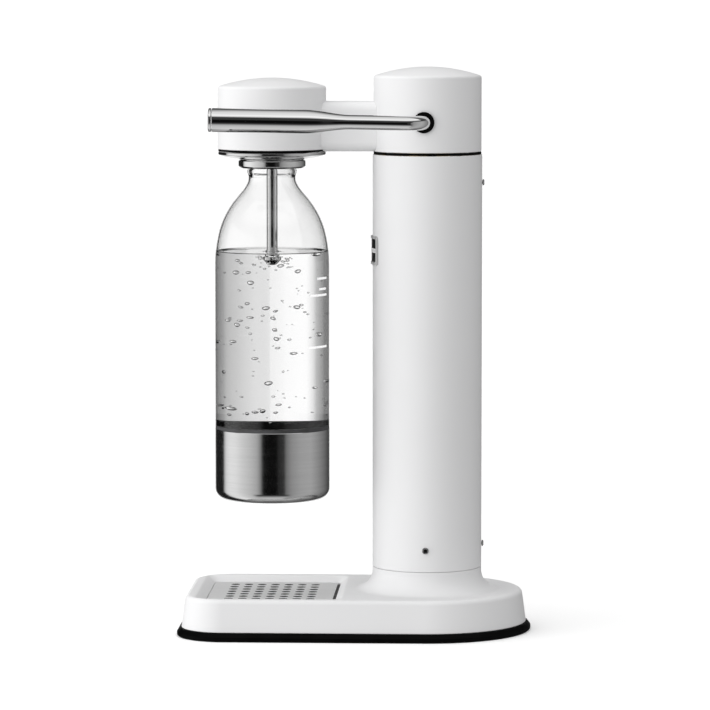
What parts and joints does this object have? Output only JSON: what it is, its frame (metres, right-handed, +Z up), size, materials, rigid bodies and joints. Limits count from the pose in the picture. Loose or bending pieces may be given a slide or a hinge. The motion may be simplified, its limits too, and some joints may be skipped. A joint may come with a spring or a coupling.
{
  "type": "soda carbonator",
  "caption": "Hand-operated soda carbonator: column with gas cylinder, arm and head over a drip tray, clear screw-up bottle and a long side lever.",
  "frame": {"origin": "on the surface the machine stands on, under the middle of its base", "axes": "+Z up; the head, bottle and drip tray towards -Y; the column towards +Y; the lever on the +X side"},
  "size_m": [0.153, 0.258, 0.414],
  "materials": {
    "white_enamel": "satin white paint",
    "black_rubber": "matt black",
    "black_plastic": "fine matt black",
    "polished_steel": "polished steel",
    "brushed_steel": "fine brushed steel",
    "steel_screws": "plain steel",
    "spring_steel": "oiled wire",
    "satin_aluminium": "satin",
    "brass": "machined",
    "clear_plastic": "clear bottle plastic"
  },
  "bodies": {
    "machine": {"foot_ring": "black_rubber", "base_shell": "white_enamel", "base_plate": "satin_aluminium", "base_screw_front_right": "steel_screws", "base_screw_front_left": "steel_screws", "base_screw_rear_right": "steel_screws", "base_screw_rear_left": "steel_screws", "column_spigot": "satin_aluminium", "column_tube": "white_enamel", "column_gasket": "black_rubber", "column_cap": "white_enamel", "arm_housing": "white_enamel", "head_shell": "white_enamel", "head_gasket": "black_rubber", "nozzle_flange": "polished_steel", "bottle_collar": "polished_steel", "nozzle_body": "satin_aluminium", "nozzle_seal": "black_rubber", "carbonation_tube": "brushed_steel", "nozzle_tip": "brushed_steel", "vent_valve": "brass", "badge_frame": "satin_aluminium", "badge_plate": "black_plastic", "column_screw_right": "steel_screws", "column_screw_left": "steel_screws", "column_screw_rear_low": "steel_screws", "column_screw_rear_high": "steel_screws", "upper_bracket": "satin_aluminium", "valve_block": "brass", "cylinder_seal": "black_rubber", "plunger_spring": "spring_steel", "burst_plug": "brass", "gas_tube": "brass", "tube_nut_block": "brass", "tube_nut_head": "brass", "shaft_bracket": "satin_aluminium", "lever_bush_inner": "black_plastic", "lever_bush_outer": "black_rubber", "lever_return_spring": "spring_steel"},
    "lever": {"lever_handle": "polished_steel", "lever_end_cap": "polished_steel", "lever_cam": "brushed_steel", "shaft_clip": "spring_steel"},
    "plunger": {"valve_plunger": "brushed_steel"},
    "cylinder": {"gas_cylinder": "satin_aluminium", "cylinder_valve": "brass"},
    "pin": {"cylinder_pin": "brushed_steel"},
    "bottle": {"bottle_body": "clear_plastic", "bottle_cup": "brushed_steel", "bottle_liner": "black_plastic"},
    "tray": {"drip_tray_pan": "black_plastic"},
    "grid": {"drip_grid": "brushed_steel"},
    "poppet": {"vent_poppet": "brushed_steel"}
  },
  "joints": [
    {"name": "lever_hinge", "type": "hinge", "parent": "machine", "child": "lever", "pos_m": [0, 0.0509, 0.3744], "axis": [1, 0, 0], "range_deg": [0, 40], "stiffness_Nm_per_rad": 0.6, "springref_deg": -40.11},
    {"name": "plunger_slide", "type": "slide", "parent": "machine", "child": "plunger", "axis": [0, 0, -1], "range_m": [0, 0.003], "deforming": ["plunger_spring"]},
    {"name": "cylinder_withdraw", "type": "slide", "parent": "machine", "child": "cylinder", "axis": [0, 0, -1], "range_m": [0, 0.03]},
    {"name": "pin_slide", "type": "slide", "parent": "cylinder", "child": "pin", "axis": [0, 0, -1], "range_m": [0, 0.003]},
    {"name": "bottle_drop", "type": "slide", "parent": "machine", "child": "bottle", "axis": [0, 0, -1], "range_m": [0, 0.04]},
    {"name": "tray_lift", "type": "slide", "parent": "machine", "child": "tray", "axis": [0, 0, 1], "range_m": [0, 0.02]},
    {"name": "grid_lift", "type": "slide", "parent": "tray", "child": "grid", "axis": [0, 0, 1], "range_m": [0, 0.005]},
    {"name": "vent_lift", "type": "slide", "parent": "machine", "child": "poppet", "axis": [0, 0, 1], "range_m": [0, 0.0015], "stiffness_N_per_m": 400, "springref_m": -0.002}
  ],
  "couplings": [
    {"joint": "plunger_slide", "follows": "lever_hinge", "m_per_rad": 0.0042972},
    {"joint": "pin_slide", "follows": "lever_hinge", "m_per_rad": 0.0042972}
  ]
}
